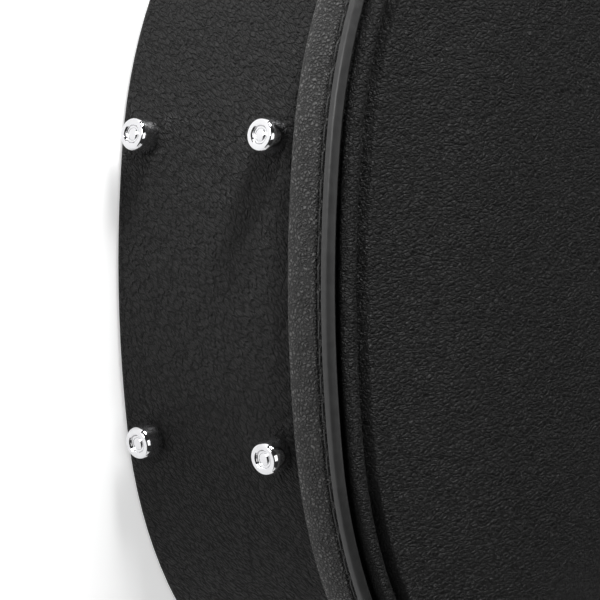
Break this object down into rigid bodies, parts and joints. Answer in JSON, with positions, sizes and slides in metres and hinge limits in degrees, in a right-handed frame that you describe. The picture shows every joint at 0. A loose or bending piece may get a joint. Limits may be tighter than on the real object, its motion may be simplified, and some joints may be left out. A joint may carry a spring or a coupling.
{
  "type": "bass guitar case",
  "caption": "Shaped hardshell case for a bass guitar, with an arched lid on side hinges, draw latches, a swinging handle, metal feet and a padded inside with neck rest and accessory pocket.",
  "frame": {"origin": "on the back panel's outer face, under the middle of the case's box", "axes": "+X towards the tail, -X towards the head end, +Y towards the hinges, -Y towards the handle, +Z towards the lid"},
  "size_m": [1.2346, 0.4234, 0.1464],
  "materials": {
    "cover": "fine grained black leatherette over bent plywood",
    "band": "pebble grained black leatherette, padded",
    "bead": "smooth black vinyl, satin",
    "plush": "dark grey short pile plush over foam",
    "lip": "black fibre board strip",
    "grip": "black moulded grip, satin",
    "chrome": "polished chrome plate"
  },
  "bodies": {
    "base": {"base_wall_tail": "cover", "base_wall_waist_hinge_side": "cover", "base_wall_waist_handle_side": "cover", "base_wall_head": "cover", "base_back_panel": "cover", "base_floor_pad": "plush", "side_pad_tail": "plush", "side_pad_lower_hinge_side": "plush", "side_pad_lower_handle_side": "plush", "side_pad_upper_hinge_side": "plush", "side_pad_upper_handle_side": "plush", "side_pad_head": "plush", "neck_rest": "plush", "pocket_wall_neck_side": "plush", "pocket_wall_head_side": "plush", "locating_lip_tail": "lip", "locating_lip_waist_hinge_side": "lip", "locating_lip_waist_handle_side": "lip", "locating_lip_head": "lip", "tail_foot_left_back": "chrome", "tail_foot_left_rim": "chrome", "tail_foot_right_back": "chrome", "tail_foot_right_rim": "chrome", "side_foot_lower_back": "chrome", "side_foot_lower_rim": "chrome", "side_foot_upper_back": "chrome", "side_foot_upper_rim": "chrome", "hinge_lower_base_leaf": "chrome", "hinge_lower_pin": "chrome", "hinge_upper_base_leaf": "chrome", "hinge_upper_pin": "chrome", "latch_1_plate": "chrome", "latch_2_plate": "chrome", "latch_3_plate": "chrome", "latch_4_plate": "chrome", "handle_bracket_front": "chrome", "handle_bracket_rear": "chrome"},
    "lid": {"lid_side_wall": "cover", "lid_edge_band": "band", "lid_edge_bead": "bead", "lid_top_panel": "cover", "lid_pad": "plush", "hinge_lower_lid_leaf": "chrome", "hinge_upper_lid_leaf": "chrome", "latch_1_keeper": "chrome", "latch_2_keeper": "chrome", "latch_3_keeper": "chrome", "latch_4_keeper": "chrome"},
    "handle": {"handle_grip": "grip", "handle_loop_front": "chrome", "handle_loop_rear": "chrome"},
    "latch_1_lever": {"latch_1_lever": "chrome"},
    "latch_1_hook": {"latch_1_hook": "chrome"},
    "latch_2_lever": {"latch_2_lever": "chrome"},
    "latch_2_hook": {"latch_2_hook": "chrome"},
    "latch_3_lever": {"latch_3_lever": "chrome"},
    "latch_3_hook": {"latch_3_hook": "chrome"},
    "latch_4_lever": {"latch_4_lever": "chrome"},
    "latch_4_hook": {"latch_4_hook": "chrome"},
    "lock_cylinder": {"lock_cylinder": "chrome"}
  },
  "joints": [
    {"name": "lid_swing", "type": "hinge", "parent": "base", "child": "lid", "pos_m": [0.42642, 0.20803, 0.10015], "axis": [-0.9986, -0.0537, 0], "range_deg": [0, 100]},
    {"name": "handle_swing", "type": "hinge", "parent": "base", "child": "handle", "pos_m": [0.21314, -0.16866, 0.068], "axis": [-1, 0, 0], "range_deg": [0, 135]},
    {"name": "latch_1_lever_swing", "type": "hinge", "parent": "base", "child": "latch_1_lever", "pos_m": [0.42153, -0.20068, 0.088], "axis": [-0.9986, 0.0537, 0], "range_deg": [0, 100]},
    {"name": "latch_1_hook_swing", "type": "hinge", "parent": "latch_1_lever", "child": "latch_1_hook", "pos_m": [0.42132, -0.20468, 0.083], "axis": [-0.9986, 0.0537, 0], "range_deg": [-115, 0]},
    {"name": "latch_2_lever_swing", "type": "hinge", "parent": "base", "child": "latch_2_lever", "pos_m": [0.03053, -0.17966, 0.088], "axis": [-0.9986, 0.0537, 0], "range_deg": [0, 100]},
    {"name": "latch_2_hook_swing", "type": "hinge", "parent": "latch_2_lever", "child": "latch_2_hook", "pos_m": [0.03032, -0.18366, 0.083], "axis": [-0.9986, 0.0537, 0], "range_deg": [-115, 0]},
    {"name": "latch_3_lever_swing", "type": "hinge", "parent": "base", "child": "latch_3_lever", "pos_m": [-0.18815, -0.10046, 0.088], "axis": [-1, 0, 0], "range_deg": [0, 100]},
    {"name": "latch_3_hook_swing", "type": "hinge", "parent": "latch_3_lever", "child": "latch_3_hook", "pos_m": [-0.18815, -0.10446, 0.083], "axis": [-1, 0, 0], "range_deg": [-115, 0]},
    {"name": "latch_4_lever_swing", "type": "hinge", "parent": "base", "child": "latch_4_lever", "pos_m": [-0.50815, -0.10046, 0.088], "axis": [-1, 0, 0], "range_deg": [0, 100]},
    {"name": "latch_4_hook_swing", "type": "hinge", "parent": "latch_4_lever", "child": "latch_4_hook", "pos_m": [-0.50815, -0.10446, 0.083], "axis": [-1, 0, 0], "range_deg": [-115, 0]},
    {"name": "lock_turn", "type": "hinge", "parent": "latch_2_lever", "child": "lock_cylinder", "pos_m": [0.03085, -0.17367, 0.064], "axis": [-0.0537, -0.9986, 0], "range_deg": [0, 90]}
  ],
  "couplings": [
    {"joint": "latch_1_hook_swing", "follows": "latch_1_lever_swing", "ratio": -1.15},
    {"joint": "latch_2_hook_swing", "follows": "latch_2_lever_swing", "ratio": -1.15},
    {"joint": "latch_3_hook_swing", "follows": "latch_3_lever_swing", "ratio": -1.15},
    {"joint": "latch_4_hook_swing", "follows": "latch_4_lever_swing", "ratio": -1.15}
  ]
}
